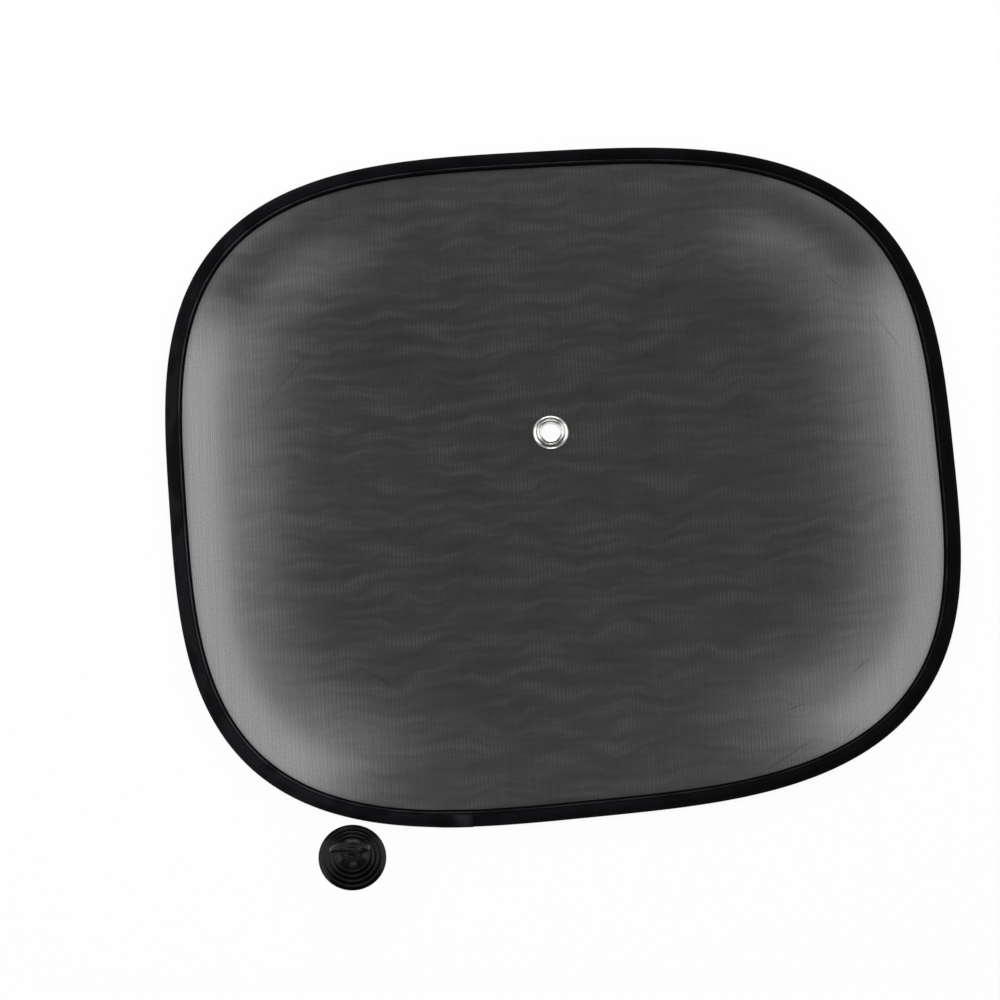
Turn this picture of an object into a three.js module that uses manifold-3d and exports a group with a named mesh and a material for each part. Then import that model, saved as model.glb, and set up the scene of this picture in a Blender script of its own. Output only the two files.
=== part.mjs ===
import * as THREE from "three";
import { mergeGeometries, mergeVertices } from "three/addons/utils/BufferGeometryUtils.js";
import Module from "manifold-3d";

// Car side window sunshade with its suction cup, lying flat, in millimetres.
// X runs along the window, Y up the window and +Z away from the floor it lies on.

const wasm = await Module();
wasm.setup();

// Outline of the shade
const shadeLength = 440;
const shadeHeight = 393;
const cornerExponent = 3.2; // 2 is an ellipse, more makes the corners squarer
const endTaper = 0.025; // the +X end is this share lower than the middle, the -X end higher
const rimSections = 76;

// Edge binding: a folded tape, sewn round the wire and the edge of the net
const tubeWidth = 7.3;
const tubeHeight = 5;
const bindingWidth = 9.6;
const tapeThickness = 0.7;
const leafThickness = 0.5;
const lapLength = 24;
const lapRise = 0.45;
const lapAngle = -108.4; // degrees round the rim, counted from +X

// Spring wire and the ferrule that joins its ends
const wireRadius = 0.8;
const jointAngle = -75;
const jointGap = 1.5;
const ferruleLength = 24;
const ferruleWall = 0.35;

// Net: ridges for the knitted wales, slots for the openings between them
const netThickness = 0.4;
const ridgeHeight = 0.2;
const ridgePitch = 4.4;
const slotWidth = 1.1;
const slotMargin = 9;
const slotBridge = 7;
const bridgeStagger = 24;
const shortestSlot = 14;
const netTuck = 3.2; // how far the net's edge runs in under the binding

// Eyelet
const eyeletX = -4;
const eyeletY = 28;
const eyeletHoleRadius = 5.45;
const eyeletBarrelWall = 0.5;
const eyeletRadius = 10;
const eyeletDome = 1.3;
const washerRadius = 9.4;
const washerThickness = 0.5;
const rollWidth = 1.75;
const rollThickness = 0.6;

// Suction cup
const cupAngle = -124.4; // degrees round the rim where the cup stands
const cupDistance = 2.6; // from the rim to the cup's lip
const cupTurn = -4.5; // degrees
const cupRadius = 18.7;
const cupConeHeight = 9.5;
const cavityDepth = 3.8;
const lipWidth = 0.9;
const lipHeight = 0.9;
const neckRadius = 3.6;
const neckTop = 12.7;
const firstStepRadius = 8.7;
const stepPitch = 2.5;
const stepCount = 4;
const riserWidth = 0.5;
const socketFloor = 5.8;

// Hook clip
const stemRadius = 1.7;
const stemBeadRadius = 2.1;
const collarRadius = 3.5;
const clipDepth = 2.6;
const barHeight = 14.3;

// Gap between pieces that rest against each other
const clearance = 0.3;

const netPlane = tubeHeight / 2;
const tubeRadius = tubeWidth / 2;
const netHalf = netThickness / 2 + ridgeHeight;
const leafInside = netHalf + clearance;
const leafOutside = leafInside + leafThickness;
const netInset = bindingWidth - netTuck;
const holeInNet = eyeletHoleRadius + eyeletBarrelWall + clearance;

const looks = {
  net: { color: 0x17181a, roughness: 0.85, metalness: 0 },
  binding: { color: 0x0c0c10, roughness: 0.7, metalness: 0 },
  steel: { color: 0x8d8f92, roughness: 0.35, metalness: 1 },
  nickel: { color: 0xc9c7c3, roughness: 0.15, metalness: 1 },
  cup: { color: 0x09090a, roughness: 0.25, metalness: 0 },
  clip: { color: 0x0b0b0b, roughness: 0.35, metalness: 0 },
};

// Solids

function signedVolume(geometry) {
  const position = geometry.attributes.position;
  const index = geometry.index.array;
  const corners = [new THREE.Vector3(), new THREE.Vector3(), new THREE.Vector3()];
  let sum = 0;
  for (let i = 0; i < index.length; i += 3) {
    corners.forEach((corner, k) => corner.fromBufferAttribute(position, index[i + k]));
    sum += corners[0].dot(corners[1].cross(corners[2]));
  }
  return sum / 6;
}

function outward(geometry) {
  if (signedVolume(geometry) < 0) {
    const index = geometry.index.array;
    for (let i = 0; i < index.length; i += 3) {
      [index[i], index[i + 1]] = [index[i + 1], index[i]];
    }
  }
  return geometry;
}

function welded(geometry) {
  const copy = geometry.clone();
  copy.deleteAttribute("normal");
  copy.deleteAttribute("uv");
  return outward(mergeVertices(copy, 1e-5));
}

function toManifold(geometry) {
  const plain = welded(geometry);
  return new wasm.Manifold(
    new wasm.Mesh({
      numProp: 3,
      vertProperties: new Float32Array(plain.attributes.position.array),
      triVerts: new Uint32Array(plain.index.array),
    }),
  );
}

function fromManifold(manifold) {
  const mesh = manifold.getMesh();
  const geometry = new THREE.BufferGeometry();
  geometry.setAttribute("position", new THREE.BufferAttribute(mesh.vertProperties, 3));
  geometry.setIndex(new THREE.BufferAttribute(mesh.triVerts, 1));
  return geometry;
}

// A skin over rows of points. Every row is a closed ring. The rows either
// close on themselves or end in a flat cap at each end.
function skin(rows, rowsClose) {
  const ring = rows[0].length;
  const positions = rows.flat().flatMap((p) => [p.x, p.y, p.z]);
  const index = [];
  const spans = rowsClose ? rows.length : rows.length - 1;
  for (let i = 0; i < spans; i += 1) {
    const here = i * ring;
    const there = ((i + 1) % rows.length) * ring;
    for (let j = 0; j < ring; j += 1) {
      const k = (j + 1) % ring;
      index.push(here + j, here + k, there + k, here + j, there + k, there + j);
    }
  }
  if (!rowsClose) {
    const last = (rows.length - 1) * ring;
    for (let j = 1; j < ring - 1; j += 1) {
      index.push(0, j + 1, j, last, last + j, last + j + 1);
    }
  }
  const geometry = new THREE.BufferGeometry();
  geometry.setAttribute("position", new THREE.Float32BufferAttribute(positions, 3));
  geometry.setIndex(index);
  return outward(geometry);
}

function turned(profile, segments) {
  const points = profile.map(([r, z]) => new THREE.Vector2(r, z));
  const geometry = new THREE.LatheGeometry(points, segments);
  geometry.rotateX(Math.PI / 2);
  return welded(geometry);
}

function prism(points, low, high) {
  const geometry = new THREE.ExtrudeGeometry(new THREE.Shape(points), {
    depth: high - low,
    bevelEnabled: false,
  });
  return geometry.translate(0, 0, low);
}

// The rim

// Point on the outer edge of the shade at an angle from its middle.
function edgePoint(angle) {
  const halfLength = shadeLength / 2;
  const halfHeight = shadeHeight / 2;
  const across = Math.abs(Math.cos(angle) / halfLength) ** cornerExponent;
  const up = Math.abs(Math.sin(angle) / halfHeight) ** cornerExponent;
  const radius = (across + up) ** (-1 / cornerExponent);
  const x = radius * Math.cos(angle);
  return new THREE.Vector2(x, radius * Math.sin(angle) * (1 - (endTaper * x) / halfLength));
}

// Edge point with the direction straight out of the shade there.
function rimAt(angle) {
  const step = 1e-4;
  const point = edgePoint(angle);
  const along = edgePoint(angle + step).sub(edgePoint(angle - step)).normalize();
  return { point, outwards: new THREE.Vector2(along.y, -along.x), along };
}

// Point that lies `inset` in from the outer edge and `z` above the floor.
function inRim(rim, inset, z) {
  const { point, outwards } = rim;
  return new THREE.Vector3(point.x - outwards.x * inset, point.y - outwards.y * inset, z);
}

// Angles round the rim, closer together where the rim bends more.
function rimAngles(count) {
  const fine = 1440;
  const weights = [0];
  for (let i = 0; i < fine; i += 1) {
    const from = rimAt((i * 2 * Math.PI) / fine);
    const to = rimAt(((i + 1) * 2 * Math.PI) / fine);
    const length = from.point.distanceTo(to.point) / (shadeLength + shadeHeight);
    const bend = Math.abs(from.along.cross(to.along)) / Math.PI;
    weights.push(weights[i] + length + bend);
  }
  const angles = [];
  for (let k = 0, i = 0; k < count; k += 1) {
    const wanted = (weights[fine] * k) / count;
    while (weights[i + 1] < wanted) {
      i += 1;
    }
    const share = (wanted - weights[i]) / (weights[i + 1] - weights[i]);
    angles.push(((i + share) * 2 * Math.PI) / fine);
  }
  return angles;
}

const radians = THREE.MathUtils.degToRad;
const fullTurn = 2 * Math.PI;
const evenAngles = rimAngles(rimSections);

// Angle that a length along the rim takes up near a given angle.
function angleOf(length, angle) {
  return length / edgePoint(angle).length();
}

// The even angles from `from` once round, with some angles put in and the
// even ones near them left out.
function anglesWith(extra, from) {
  const turnedOn = (angle) => {
    const past = (angle - from) % fullTurn;
    return past < -1e-9 ? past + fullTurn : past;
  };
  const near = radians(1);
  const added = extra.map(turnedOn);
  const kept = evenAngles.map(turnedOn).filter((a) => added.every((b) => Math.abs(a - b) > near));
  return [...kept, ...added].sort((a, b) => a - b).map((a) => a + from);
}

// Pieces of the shade

// Points on an oval about the wire, as [inset, height over the net's middle].
function ovalPoints(from, to, steps, halfWidth, halfHeight) {
  return Array.from({ length: steps + 1 }, (_, i) => {
    const angle = radians(from + ((to - from) * i) / steps);
    return [tubeRadius + halfWidth * Math.cos(angle), halfHeight * Math.sin(angle)];
  });
}

// Section of the binding, right round its outside and back along its inside.
// The oval has a flat on top, one underneath and one along the outer edge.
function bindingSection(lap) {
  const toFlat = 1 / Math.cos(radians(15));
  const outside = [
    [bindingWidth - 0.2, leafOutside],
    [tubeWidth - 0.1, leafOutside - 0.1],
    ...ovalPoints(45, 315, 9, tubeRadius * toFlat, netPlane * toFlat),
    [tubeWidth - 0.1, 0.1 - leafOutside],
    [bindingWidth - 0.2, -leafOutside],
  ];
  const hollowHeight = netPlane - tapeThickness;
  const inside = [
    [bindingWidth, -leafInside],
    ...ovalPoints(-24, -336, 6, tubeRadius - 1.3, hollowHeight),
    [bindingWidth, leafInside],
  ];
  const lapped = outside.map(([inset, z]) => {
    const rise = lap && z > 0 ? lapRise : 0;
    return [inset < tubeRadius ? inset - rise / 2 : inset, z + rise];
  });
  return [...lapped, ...inside];
}

function edgeBinding() {
  const start = radians(lapAngle);
  const end = start - angleOf(lapLength, start);
  const lip = angleOf(0.8, start);
  const angles = anglesWith([start + lip, start, end, end - lip], start);
  const inLap = (angle) => {
    const back = (start + fullTurn - angle) % fullTurn;
    return back < start - end + 1e-6;
  };
  const rows = angles.map((angle) => {
    const rim = rimAt(angle);
    return bindingSection(inLap(angle)).map(([inset, z]) => inRim(rim, inset, netPlane + z));
  });
  return skin(rows, true);
}

function frameWire() {
  const joint = radians(jointAngle);
  const half = angleOf(jointGap / 2, joint);
  const angles = anglesWith([joint + half, joint + fullTurn - half], joint);
  const sides = 6;
  const rows = angles.map((angle) => {
    const rim = rimAt(angle);
    return Array.from({ length: sides }, (_, k) => {
      const turn = (k * fullTurn) / sides;
      const inset = tubeRadius + wireRadius * Math.cos(turn);
      return inRim(rim, inset, netPlane + wireRadius * Math.sin(turn));
    });
  });
  return skin(rows, false);
}

function wireFerrule() {
  const inner = wireRadius + 0.25;
  const outer = inner + ferruleWall;
  const half = ferruleLength / 2;
  const tube = turned(
    [
      [inner, -half],
      [outer, -half],
      [outer, half],
      [inner, half],
      [inner, -half],
    ],
    14,
  );
  const rim = rimAt(radians(jointAngle));
  const middle = inRim(rim, tubeRadius, netPlane);
  tube.rotateY(Math.PI / 2);
  tube.rotateZ(rim.along.angle());
  return tube.translate(middle.x, middle.y, middle.z);
}

// How far the net reaches up (side 1) or down (side -1) at a distance along it.
function netReach(x, side) {
  const share = Math.min(1, Math.abs(x) / (shadeLength / 2 - netInset));
  const half = (shadeHeight / 2 - netInset) * (1 - share ** cornerExponent) ** (1 / cornerExponent);
  return side * half * (1 - (endTaper * x) / (shadeLength / 2));
}

function netRidges() {
  const count = Math.round(shadeLength / ridgePitch);
  const pitch = shadeLength / count;
  const top = [];
  for (let i = 0; i <= count; i += 1) {
    const x = (i - count / 2) * pitch;
    top.push([x, netThickness / 2]);
    if (i < count) {
      top.push([x + pitch / 2, netHalf]);
    }
  }
  const bottom = top.map(([x, z]) => [x, -z]).reverse();
  const points = [...top, ...bottom].map(([x, z]) => new THREE.Vector2(x, z));
  const sheet = prism(points, 0, shadeHeight * 1.1);
  sheet.rotateX(Math.PI / 2);
  return sheet.translate(0, shadeHeight * 0.55, netPlane);
}

function netSlots() {
  const count = Math.round(shadeLength / ridgePitch);
  const pitch = shadeLength / count;
  const aroundEyelet = eyeletRadius + 3;
  const slots = [];
  for (let i = 1; i < count; i += 2) {
    const x = (i - count / 2) * pitch;
    const middle = (((i - 1) / 2) % 3) * bridgeStagger - bridgeStagger;
    const byEyelet = Math.abs(x - eyeletX) < aroundEyelet;
    const upperStart = byEyelet ? eyeletY + aroundEyelet : middle + slotBridge / 2;
    const lowerEnd = byEyelet ? eyeletY - aroundEyelet : middle - slotBridge / 2;
    const spans = [
      [upperStart, netReach(x, 1) - slotMargin],
      [netReach(x, -1) + slotMargin, lowerEnd],
    ];
    spans
      .filter(([low, high]) => high - low > shortestSlot)
      .forEach(([low, high]) => {
        const slot = new THREE.BoxGeometry(slotWidth, high - low, 4 * netHalf);
        slots.push(slot.translate(x, (low + high) / 2, netPlane));
      });
  }
  return mergeGeometries(slots);
}

function meshPanel() {
  const outline = evenAngles.map((angle) => {
    const { x, y } = inRim(rimAt(angle), netInset, 0);
    return new THREE.Vector2(x, y);
  });
  const blank = prism(outline, netPlane - 2 * netHalf, netPlane + 2 * netHalf);
  const hole = new THREE.CylinderGeometry(holeInNet, holeInNet, 4 * netHalf, 28);
  hole.rotateX(Math.PI / 2);
  hole.translate(eyeletX, eyeletY, netPlane);
  const net = toManifold(netRidges())
    .intersect(toManifold(blank))
    .subtract(toManifold(netSlots()))
    .subtract(toManifold(hole));
  return fromManifold(net);
}

// Heights in the eyelet are counted from the middle of the net.
function eyelet() {
  const inner = eyeletHoleRadius;
  const outer = inner + eyeletBarrelWall;
  const under = leafInside;
  const top = under + eyeletDome;
  const rollTop = -(under + washerThickness + clearance);
  const rollBottom = rollTop - rollThickness;
  return turned(
    [
      [inner, rollBottom + 0.25],
      [inner, top - 0.7],
      [inner + 0.25, top - 0.2],
      [inner + 0.75, top],
      [inner + 1.35, top - 0.1],
      [inner + 1.9, top - 0.5],
      [inner + 2.5, top - 0.3],
      [eyeletRadius - 1.2, top - 0.15],
      [eyeletRadius - 0.5, top - 0.45],
      [eyeletRadius, under + 0.3],
      [eyeletRadius - 0.15, under],
      [outer, under],
      [outer, rollTop],
      [outer + rollWidth, rollTop],
      [outer + rollWidth, rollTop - 0.25],
      [outer + rollWidth - 0.45, rollBottom],
      [inner + 0.3, rollBottom],
      [inner, rollBottom + 0.25],
    ],
    36,
  );
}

function eyeletWasher() {
  const top = -leafInside;
  return turned(
    [
      [holeInNet, top],
      [washerRadius, top],
      [washerRadius, top - washerThickness],
      [holeInNet, top - washerThickness],
      [holeInNet, top],
    ],
    36,
  );
}

// Pieces of the suction cup

function suctionCup() {
  const profile = [];
  const cavityRadius = cupRadius - 0.3 - lipWidth;
  const cavitySteps = 5;
  for (let i = 0; i <= cavitySteps; i += 1) {
    const share = i / cavitySteps;
    profile.push([cavityRadius * share, cavityDepth * (1 - share * share)]);
  }
  profile.push([cupRadius - 0.3, 0]);
  profile.push([cupRadius, 0.3]);
  profile.push([cupRadius, lipHeight - 0.2]);
  profile.push([cupRadius - 0.3, lipHeight]);
  const coneTop = 6.1;
  const tread = stepPitch - riserWidth;
  const treadFall = 0.3;
  const riser = (coneTop - lipHeight - 0.2 - stepCount * treadFall) / stepCount;
  for (let k = stepCount - 1; k >= 0; k -= 1) {
    const radius = firstStepRadius + k * stepPitch;
    const foot = coneTop - k * (riser + treadFall) - riser;
    if (k < stepCount - 1) {
      profile.push([radius + riserWidth + tread - 0.15, foot - treadFall]);
    }
    profile.push([radius + riserWidth, foot]);
    profile.push([radius, foot + riser - 0.15]);
  }
  profile.push([firstStepRadius - 0.4, coneTop]);
  profile.push([(firstStepRadius + neckRadius) / 2, coneTop + (cupConeHeight - coneTop) * 0.36]);
  profile.push([neckRadius + 0.7, cupConeHeight - 0.9]);
  profile.push([neckRadius, cupConeHeight]);
  profile.push([neckRadius, neckTop - 0.4]);
  profile.push([neckRadius - 0.4, neckTop]);
  profile.push([stemRadius + clearance, neckTop]);
  profile.push([stemRadius + clearance, socketFloor + 2.6]);
  profile.push([stemBeadRadius + clearance, socketFloor + 2.2]);
  profile.push([stemBeadRadius + clearance, socketFloor]);
  profile.push([0, socketFloor]);
  return turned(profile, 44);
}

// A bar with a rounded section that follows points [x, z, width] in the clip's
// own plane.
function roundedBar(points, stations) {
  const path = new THREE.CatmullRomCurve3(
    points.map(([x, z, width]) => new THREE.Vector3(x, width, z)),
    false,
    "centripetal",
  );
  const sides = 8;
  const rows = [];
  for (let i = 0; i <= stations; i += 1) {
    const at = path.getPointAt(i / stations);
    const along = path.getTangentAt(i / stations);
    const across = new THREE.Vector3(along.z, 0, -along.x).normalize();
    rows.push(
      Array.from({ length: sides }, (_, k) => {
        const turn = ((k + 0.5) * fullTurn) / sides;
        const reach = (at.y / 2) * Math.cos(turn);
        const depth = (clipDepth / 2) * Math.sin(turn);
        return new THREE.Vector3(at.x + across.x * reach, depth, at.z + across.z * reach);
      }),
    );
  }
  return skin(rows, false);
}

// The loop, from the free tail over the arch and down to the bar it stands on.
function clipLoop() {
  const bar = barHeight;
  return roundedBar(
    [
      [5.1, bar - 4, 1.5],
      [5.3, bar - 1.7, 1.5],
      [6.8, bar + 0.6, 1.6],
      [8.2, bar + 3.1, 2.1],
      [8.5, bar + 6, 3.3],
      [7.8, bar + 9, 3.4],
      [6.0, bar + 12, 3],
      [3.4, bar + 13.7, 2.8],
      [0.6, bar + 14, 2.7],
      [-2.2, bar + 13.4, 2.6],
      [-5.2, bar + 11.7, 2.5],
      [-8.2, bar + 8.8, 2.4],
      [-10.4, bar + 5.2, 2.3],
      [-11.1, bar + 2.2, 2.3],
      [-10.5, bar + 0.2, 2.4],
      [-8.6, bar - 0.2, 2.3],
      [-4.3, bar - 0.05, 2.2],
      [0, bar + 0.3, 2.3],
      [3.6, bar + 0.9, 2.6],
    ],
    46,
  );
}

// The pointed gate at the end of the bar.
function clipBarb() {
  const bar = barHeight;
  return roundedBar(
    [
      [2.6, bar + 0.3, 1.8],
      [4.3, bar + 2, 3.2],
      [5.1, bar + 4.1, 2.2],
      [5.9, bar + 6.4, 0.8],
    ],
    8,
  );
}

function clipStem() {
  const foot = socketFloor + clearance;
  const head = barHeight;
  return turned(
    [
      [0, foot],
      [stemBeadRadius - 0.4, foot],
      [stemBeadRadius, foot + 0.4],
      [stemBeadRadius, foot + 1.3],
      [stemRadius, foot + 1.8],
      [stemRadius, neckTop + clearance],
      [collarRadius, neckTop + clearance],
      [collarRadius, head - 0.4],
      [collarRadius - 0.6, head + 0.2],
      [0, head + 0.2],
    ],
    20,
  );
}

function hookClip() {
  const clip = toManifold(clipLoop()).add(toManifold(clipBarb())).add(toManifold(clipStem()));
  return fromManifold(clip);
}

// Putting it together

function named(name, geometry, look) {
  const mesh = new THREE.Mesh(geometry, new THREE.MeshStandardMaterial(looks[look]));
  mesh.name = name;
  return mesh;
}

const shade = new THREE.Group();
shade.name = "shade";
shade.add(
  named("mesh_panel", meshPanel(), "net"),
  named("edge_binding", edgeBinding(), "binding"),
  named("frame_wire", frameWire(), "steel"),
  named("wire_ferrule", wireFerrule(), "steel"),
);

const ring = new THREE.Group();
ring.name = "ring";
ring.add(
  named("eyelet", eyelet(), "nickel"),
  named("eyelet_washer", eyeletWasher(), "nickel"),
);
ring.position.set(eyeletX, eyeletY, netPlane);
shade.add(ring);

const cup = new THREE.Group();
cup.name = "cup";
cup.add(named("suction_cup", suctionCup(), "cup"), named("hook_clip", hookClip(), "clip"));
const beside = inRim(rimAt(radians(cupAngle)), -cupDistance - cupRadius, 0);
cup.position.copy(beside);
cup.rotation.z = radians(cupTurn);

// The origin is the middle of everything, on the floor.
const part = new THREE.Group();
part.name = "window_sunshade";
part.add(shade, cup);
part.updateMatrixWorld(true);
const middle = new THREE.Box3().setFromObject(part, true).getCenter(new THREE.Vector3());
part.position.set(-middle.x, -middle.y, 0);
part.updateMatrixWorld(true);

export default part;
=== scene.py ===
"""Car side window sunshade: a see-through net in a sprung, bound rim, with its suction cup."""

import math

import bpy
import numpy as np
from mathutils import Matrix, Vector


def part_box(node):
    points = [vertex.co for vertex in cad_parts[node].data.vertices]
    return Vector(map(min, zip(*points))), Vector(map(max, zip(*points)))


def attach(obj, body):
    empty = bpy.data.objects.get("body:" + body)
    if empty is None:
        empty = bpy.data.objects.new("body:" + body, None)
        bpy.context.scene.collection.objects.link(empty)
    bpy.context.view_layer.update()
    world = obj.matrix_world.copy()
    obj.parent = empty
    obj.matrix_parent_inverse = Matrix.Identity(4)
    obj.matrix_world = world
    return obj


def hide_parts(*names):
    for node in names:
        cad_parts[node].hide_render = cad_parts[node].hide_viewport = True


bl_info = {
    "name": "Window Sunshade",
    "version": (1, 0, 0),
    "blender": (4, 5, 0),
    "location": "View3D > Sidebar > Sunshade",
    "description": "Makes a car side window sunshade with its suction cup",
    "category": "Add Mesh",
}

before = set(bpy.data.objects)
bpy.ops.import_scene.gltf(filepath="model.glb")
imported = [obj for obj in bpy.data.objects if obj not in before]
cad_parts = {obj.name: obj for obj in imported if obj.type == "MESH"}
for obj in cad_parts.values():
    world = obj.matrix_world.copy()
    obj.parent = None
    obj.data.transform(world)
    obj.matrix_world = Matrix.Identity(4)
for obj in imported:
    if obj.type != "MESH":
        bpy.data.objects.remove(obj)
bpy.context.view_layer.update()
MM = 0.001


def middle_of(node):
    low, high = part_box(node)
    return (low + high) / 2


SHADE_MIDDLE = middle_of("edge_binding")
SHADE_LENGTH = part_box("edge_binding")[1].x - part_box("edge_binding")[0].x
CUP_MIDDLE = middle_of("suction_cup")
EYELET_MIDDLE = middle_of("eyelet")


# Sizes and colours


def length_setting(name, value, words):
    return bpy.props.FloatProperty(
        name=name, description=words, default=value, min=0.0, unit="LENGTH", precision=5
    )


def number_setting(name, value, words):
    return bpy.props.FloatProperty(name=name, description=words, default=value, precision=4)


def angle_setting(name, degrees, words):
    return bpy.props.FloatProperty(
        name=name, description=words, default=math.radians(degrees), subtype="ANGLE"
    )


def colour_setting(name, value, words):
    return bpy.props.FloatVectorProperty(
        name=name, description=words, default=value, size=3, min=0.0, max=1.0, subtype="COLOR"
    )


class RimSettings(bpy.types.PropertyGroup):
    """The outline of the shade and the binding round it."""

    length: length_setting("Length", SHADE_LENGTH, "Length of the shade along the window")
    height: length_setting("Height", 0.393, "Height of the shade at its middle")
    squareness: number_setting("Squareness", 3.2, "2 makes an ellipse, more squarer corners")
    end_taper: number_setting("End taper", 0.025, "How much lower the +X end is")
    tube_width: length_setting("Tube width", 0.0073, "Width of the tube round the wire")
    tube_height: length_setting("Tube height", 0.005, "Thickness of the tube round the wire")
    binding_width: length_setting("Binding width", 0.0096, "Width of tube and flange together")
    tape_wall: length_setting("Tape wall", 0.0007, "Thickness of the tape over the wire")
    leaf_inside: length_setting("Leaf inside", 0.0007, "From the net's middle to the flange")
    leaf_wall: length_setting("Leaf wall", 0.0005, "Thickness of each leaf of the flange")
    lap_angle: angle_setting("Lap angle", -108.4, "Where the tape's end lies on its start")
    lap_length: length_setting("Lap length", 0.024, "How far the tape's ends overlap")
    lap_rise: length_setting("Lap rise", 0.00045, "How much the overlap stands up")
    colour: colour_setting("Tape colour", (0.0005, 0.0005, 0.0007), "Colour of the tape")
    # Paler colour for the painted highlight on the flange's ridge and the tube, and for the lap.
    painted_highlight_colour: colour_setting("Raised colour", (0.044, 0.046, 0.054), "Where it stands up")


class NetSettings(bpy.types.PropertyGroup):
    """The knitted net."""

    wale_pitch: length_setting("Wale pitch", 0.00215, "Distance between the knitted ribs")
    course_pitch: length_setting("Course pitch", 0.0012, "Distance between the cross threads")
    grain_turn: angle_setting("Grain turn", -1.8, "How far off straight the net was cut")
    ripple_depth: length_setting("Ripple depth", 0.0009, "Height of the net's soft ripples")
    hole_radius: length_setting("Hole radius", 0.00625, "Radius of the hole for the eyelet")
    # Painted light and shade: the net lets little light through in the middle and much at the
    # ends.
    middle_light: number_setting("Light in the middle", 0.038, "Share let through at the middle")
    end_light: number_setting("Light at the ends", 0.27, "Share let through by the ends")
    colour: colour_setting("Thread colour", (0.0016, 0.0016, 0.0018), "Colour of the threads")
    # The bloom colour is the painted sheen on the net's ripple crests.
    bloom: colour_setting("Bloom", (0.021, 0.022, 0.026), "Colour where a ripple catches light")


class StitchSettings(bpy.types.PropertyGroup):
    """The row of sewing along the binding."""

    pitch: length_setting("Stitch pitch", 0.0029, "Distance from one stitch to the next")
    stitch_length: length_setting("Stitch length", 0.0023, "Length of one stitch")
    thread_radius: length_setting("Thread radius", 0.00017, "Radius of the sewing thread")
    inset: length_setting("Seam inset", 0.0086, "From the outer edge to the seam")
    colour: colour_setting("Thread colour", (0.0018, 0.0018, 0.0022), "Colour of the thread")


class EyeletSettings(bpy.types.PropertyGroup):
    """The metal eyelet and the washer behind it."""

    hole_radius: length_setting("Hole radius", 0.00545, "Radius of the open hole")
    barrel_wall: length_setting("Barrel wall", 0.0005, "Wall of the eyelet's barrel")
    radius: length_setting("Flange radius", 0.01, "Radius of the flange")
    washer_radius: length_setting("Washer radius", 0.0094, "Radius of the washer behind")
    colour: colour_setting("Metal colour", (0.62, 0.61, 0.59), "Colour of the plated metal")


class CupSettings(bpy.types.PropertyGroup):
    """The stepped suction cup."""

    radius: length_setting("Cup radius", 0.0187, "Radius of the cup over its lip")
    cavity_depth: length_setting("Cavity depth", 0.0038, "Depth of the hollow under the cup")
    neck_radius: length_setting("Neck radius", 0.0036, "Radius of the neck")
    neck_top: length_setting("Neck top", 0.0127, "Height of the neck")
    colour: colour_setting("Cup colour", (0.0009, 0.0009, 0.001), "Colour of the soft cup")


class ClipSettings(bpy.types.PropertyGroup):
    """The moulded hook clip in the cup's neck."""

    depth: length_setting("Depth", 0.0026, "Thickness of the clip across its loop")
    bar_height: length_setting("Bar height", 0.0143, "Height of the loop's lower bar")
    turn: angle_setting("Turn", -4.5, "How far the loop is turned about the cup's axis")
    colour: colour_setting("Clip colour", (0.0014, 0.0014, 0.0013), "Colour of the plastic")


class StageSettings(bpy.types.PropertyGroup):
    """The floor, the light and the camera."""

    azimuth: angle_setting("Azimuth", -4.535, "Direction the camera looks from")
    elevation: angle_setting("Elevation", 72, "Angle of the camera above the floor")
    view_width: length_setting("View width", 0.5588, "Width of floor that the picture spans")
    floor_white: number_setting("Floor white", 0.94, "Share of the floor that stays pure white")


GROUPS = {
    "rim": RimSettings,
    "net": NetSettings,
    "stitch": StitchSettings,
    "eyelet": EyeletSettings,
    "cup": CupSettings,
    "clip": ClipSettings,
    "stage": StageSettings,
}


def settings(context, name):
    return getattr(context.scene, "sunshade_" + name)


# Materials


def feed(tree, socket, value):
    """Links a field or a node's output to a socket, or sets the socket's own value."""
    if isinstance(value, Field):
        value = value.socket
    if isinstance(value, bpy.types.NodeSocket):
        tree.links.new(value, socket)
    else:
        socket.default_value = value


def add_node(tree, kind, *values, options=None, **inputs):
    """Adds a node. Plain values feed its inputs in their order, named ones by name."""
    node = tree.nodes.new(kind)
    for name, value in (options or {}).items():
        setattr(node, name, value)
    for socket, value in zip(node.inputs, values):
        feed(tree, socket, value)
    for name, value in inputs.items():
        feed(tree, node.inputs[name.replace("_", " ")], value)
    return node


class Field:
    """A number that varies over a surface. Sums and products of it add Math nodes."""

    def __init__(self, tree, socket):
        self.tree = tree
        self.socket = socket

    def maths(self, operation, *values, clamp=False):
        options = {"operation": operation, "use_clamp": clamp}
        node = add_node(self.tree, "ShaderNodeMath", *values, options=options)
        return Field(self.tree, node.outputs[0])

    def __add__(self, other):
        return self.maths("ADD", self, other)

    def __sub__(self, other):
        return self.maths("SUBTRACT", self, other)

    def __rsub__(self, other):
        return self.maths("SUBTRACT", other, self)

    def __mul__(self, other):
        return self.maths("MULTIPLY", self, other)

    def __truediv__(self, other):
        return self.maths("DIVIDE", self, other)

    def __pow__(self, other):
        return self.maths("POWER", self, other)

    def __abs__(self):
        return self.maths("ABSOLUTE", self)

    __radd__ = __add__

    def wave(self):
        """A soft wave from 0 to 1 for each whole step."""
        return self.maths("SINE", self * math.tau) * 0.5 + 0.5

    def whole(self):
        return self.maths("FLOOR", self)

    def most(self, other):
        return self.maths("MAXIMUM", self, other)

    def held(self):
        """The value kept between 0 and 1."""
        return self.maths("ADD", self, 0.0, clamp=True)


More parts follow.
